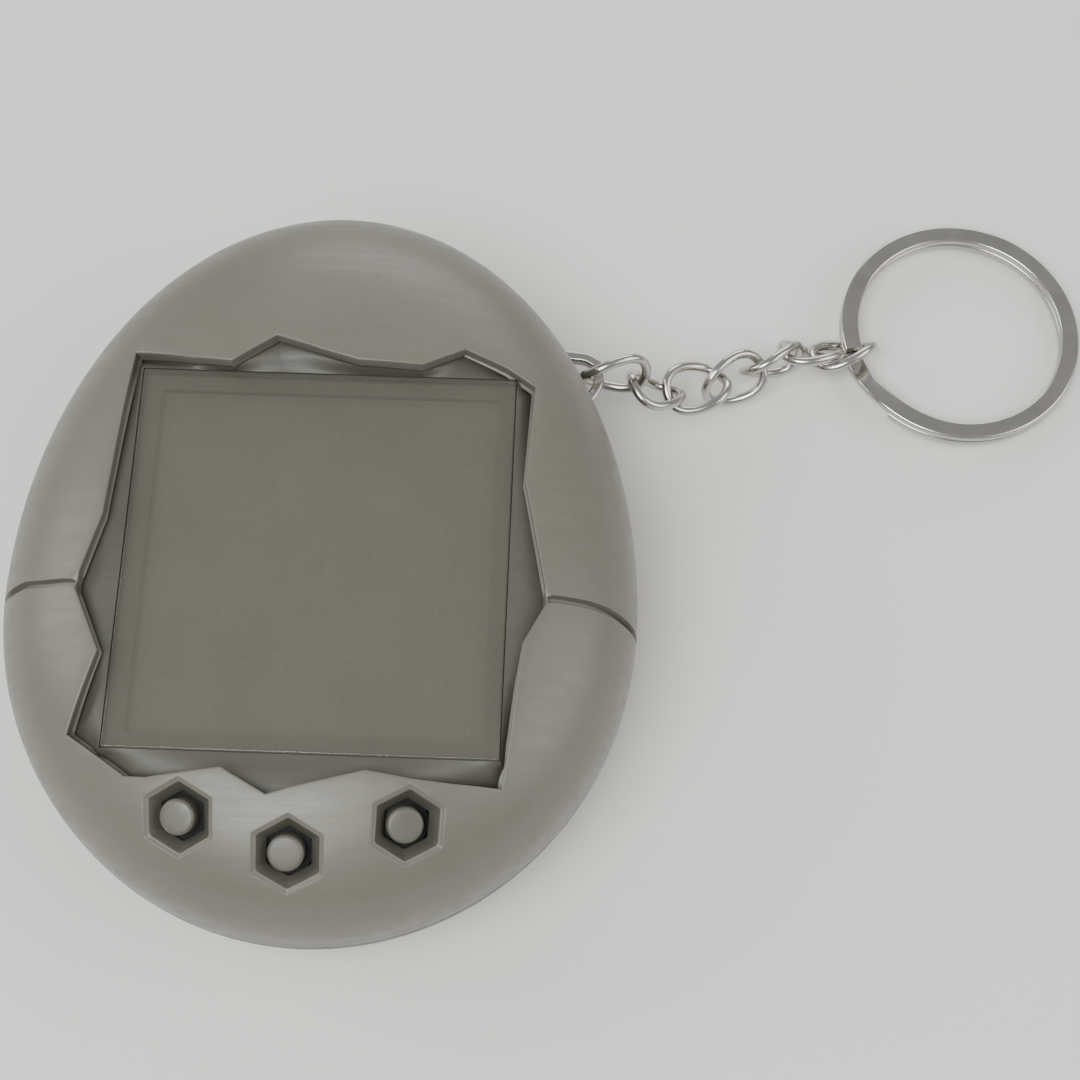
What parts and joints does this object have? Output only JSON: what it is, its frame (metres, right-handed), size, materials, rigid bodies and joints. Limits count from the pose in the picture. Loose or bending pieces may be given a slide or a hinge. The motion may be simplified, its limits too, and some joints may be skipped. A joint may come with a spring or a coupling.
{
  "type": "virtual pet keychain",
  "caption": "Egg-shaped hand-held virtual pet with a square screen in a jagged window, round push buttons, battery door, and a short link chain with a split ring.",
  "frame": {"origin": "centre of the flat back that the toy lies on", "axes": "+Z out of the screen, +X towards the toy's right seen from the front, +Y towards its top"},
  "size_m": [0.0766, 0.0593, 0.0183],
  "materials": {
    "shell_plastic": "satin moulded",
    "back_plastic": "satin moulded",
    "panel_plastic": "fine matte",
    "lens_clear": "clear with a printed border",
    "display_glass": "grey-olive display glass",
    "reflector_foil": "brushed foil",
    "holder_plastic": "matte",
    "button_plastic": "satin",
    "silicone_rubber": "matte",
    "carbon_pill": "matte",
    "board_laminate": "solder mask",
    "epoxy_black": "glossy epoxy",
    "ceramic": "fired ceramic",
    "nickel_steel": "bright nickel plate",
    "spring_brass": "rolled brass",
    "sleeve_red": "wire sleeve",
    "sleeve_black": "wire sleeve"
  },
  "bodies": {
    "case": {"battery_cell": "nickel_steel", "buzzer_ceramic": "ceramic", "buzzer_disc": "spring_brass", "buzzer_wire_1": "sleeve_black", "buzzer_wire_2": "sleeve_red", "capacitor_1": "ceramic", "capacitor_2": "ceramic", "case_screw_1": "nickel_steel", "case_screw_2": "nickel_steel", "case_screw_3": "nickel_steel", "case_screw_4": "nickel_steel", "chain_lug": "nickel_steel", "chip_blob": "epoxy_black", "contact_negative": "spring_brass", "crystal": "nickel_steel", "front_shell": "shell_plastic", "key_base_left": "holder_plastic", "key_base_middle": "holder_plastic", "key_base_right": "holder_plastic", "key_dome_left": "silicone_rubber", "key_dome_middle": "silicone_rubber", "key_dome_right": "silicone_rubber", "lcd_glass": "display_glass", "lcd_holder": "holder_plastic", "lcd_reflector": "reflector_foil", "main_board": "board_laminate", "rear_shell": "back_plastic", "reset_switch": "epoxy_black", "screen_lens": "lens_clear", "window_panel": "panel_plastic", "zebra_strip_lower": "silicone_rubber", "zebra_strip_upper": "silicone_rubber"},
    "left_key": {"button_left": "button_plastic", "key_pill_left": "carbon_pill"},
    "middle_key": {"button_middle": "button_plastic", "key_pill_middle": "carbon_pill"},
    "right_key": {"button_right": "button_plastic", "key_pill_right": "carbon_pill"},
    "reset_plunger": {"reset_button": "back_plastic"},
    "door": {"battery_door": "back_plastic", "contact_positive": "spring_brass"},
    "door_fastener": {"battery_door_screw": "nickel_steel"},
    "link_1": {"chain_link_1": "nickel_steel"},
    "link_2": {"chain_link_2": "nickel_steel"},
    "link_3": {"chain_link_3": "nickel_steel"},
    "link_4": {"chain_link_4": "nickel_steel"},
    "link_5": {"chain_link_5": "nickel_steel"},
    "link_6": {"chain_link_6": "nickel_steel"},
    "link_7": {"chain_link_7": "nickel_steel"},
    "ring": {"split_ring": "nickel_steel"}
  },
  "joints": [
    {"name": "left_key_press", "type": "slide", "parent": "case", "child": "left_key", "axis": [0.1948, 0.3949, -0.8978], "range_m": [0, 0.0005], "stiffness_N_per_m": 800, "deforming": ["key_dome_left"]},
    {"name": "middle_key_press", "type": "slide", "parent": "case", "child": "middle_key", "axis": [0.007, 0.4635, -0.8861], "range_m": [0, 0.0005], "stiffness_N_per_m": 800, "deforming": ["key_dome_middle"]},
    {"name": "right_key_press", "type": "slide", "parent": "case", "child": "right_key", "axis": [-0.1911, 0.3928, -0.8995], "range_m": [0, 0.0005], "stiffness_N_per_m": 800, "deforming": ["key_dome_right"]},
    {"name": "reset_press", "type": "slide", "parent": "case", "child": "reset_plunger", "axis": [0, 0, 1], "range_m": [0, 0.0004], "stiffness_N_per_m": 500},
    {"name": "door_lift", "type": "slide", "parent": "case", "child": "door", "axis": [0, 0, -1], "range_m": [0, 0.004]},
    {"name": "door_screw_turn", "type": "hinge", "parent": "door", "child": "door_fastener", "pos_m": [0, -0.0126, 0.0001], "axis": [0, 0, 1], "continuous": true},
    {"name": "link_1_swing", "type": "hinge", "parent": "case", "child": "link_1", "pos_m": [0.01724, 0.01819, 0.0076], "axis": [0, 0, 1], "range_deg": [-20, 30]},
    {"name": "link_2_swing", "type": "hinge", "parent": "link_1", "child": "link_2", "pos_m": [0.02114, 0.01747, 0.00727], "axis": [0, 0, -1], "range_deg": [-25, 7]},
    {"name": "link_3_swing", "type": "hinge", "parent": "link_2", "child": "link_3", "pos_m": [0.02355, 0.01853, 0.00449], "axis": [0, 0, 1], "range_deg": [-30, 20]},
    {"name": "link_4_swing", "type": "hinge", "parent": "link_3", "child": "link_4", "pos_m": [0.02654, 0.01961, 0.00263], "axis": [0, 0, -1], "range_deg": [-40, 18]},
    {"name": "link_5_swing", "type": "hinge", "parent": "link_4", "child": "link_5", "pos_m": [0.02959, 0.02126, 0.00331], "axis": [0, 0, 1], "range_deg": [-40, 40]},
    {"name": "link_6_swing", "type": "hinge", "parent": "link_5", "child": "link_6", "pos_m": [0.03231, 0.02303, 0.00306], "axis": [0, 0, -1], "range_deg": [-28, 24]},
    {"name": "link_7_swing", "type": "hinge", "parent": "link_6", "child": "link_7", "pos_m": [0.03472, 0.023, 0.00207], "axis": [0, 0, 1], "range_deg": [-10, 4]},
    {"name": "ring_swing", "type": "hinge", "parent": "link_7", "child": "ring", "pos_m": [0.03918, 0.02446, 0.00175], "axis": [0, 0, -1], "range_deg": [-15, 5]}
  ]
}
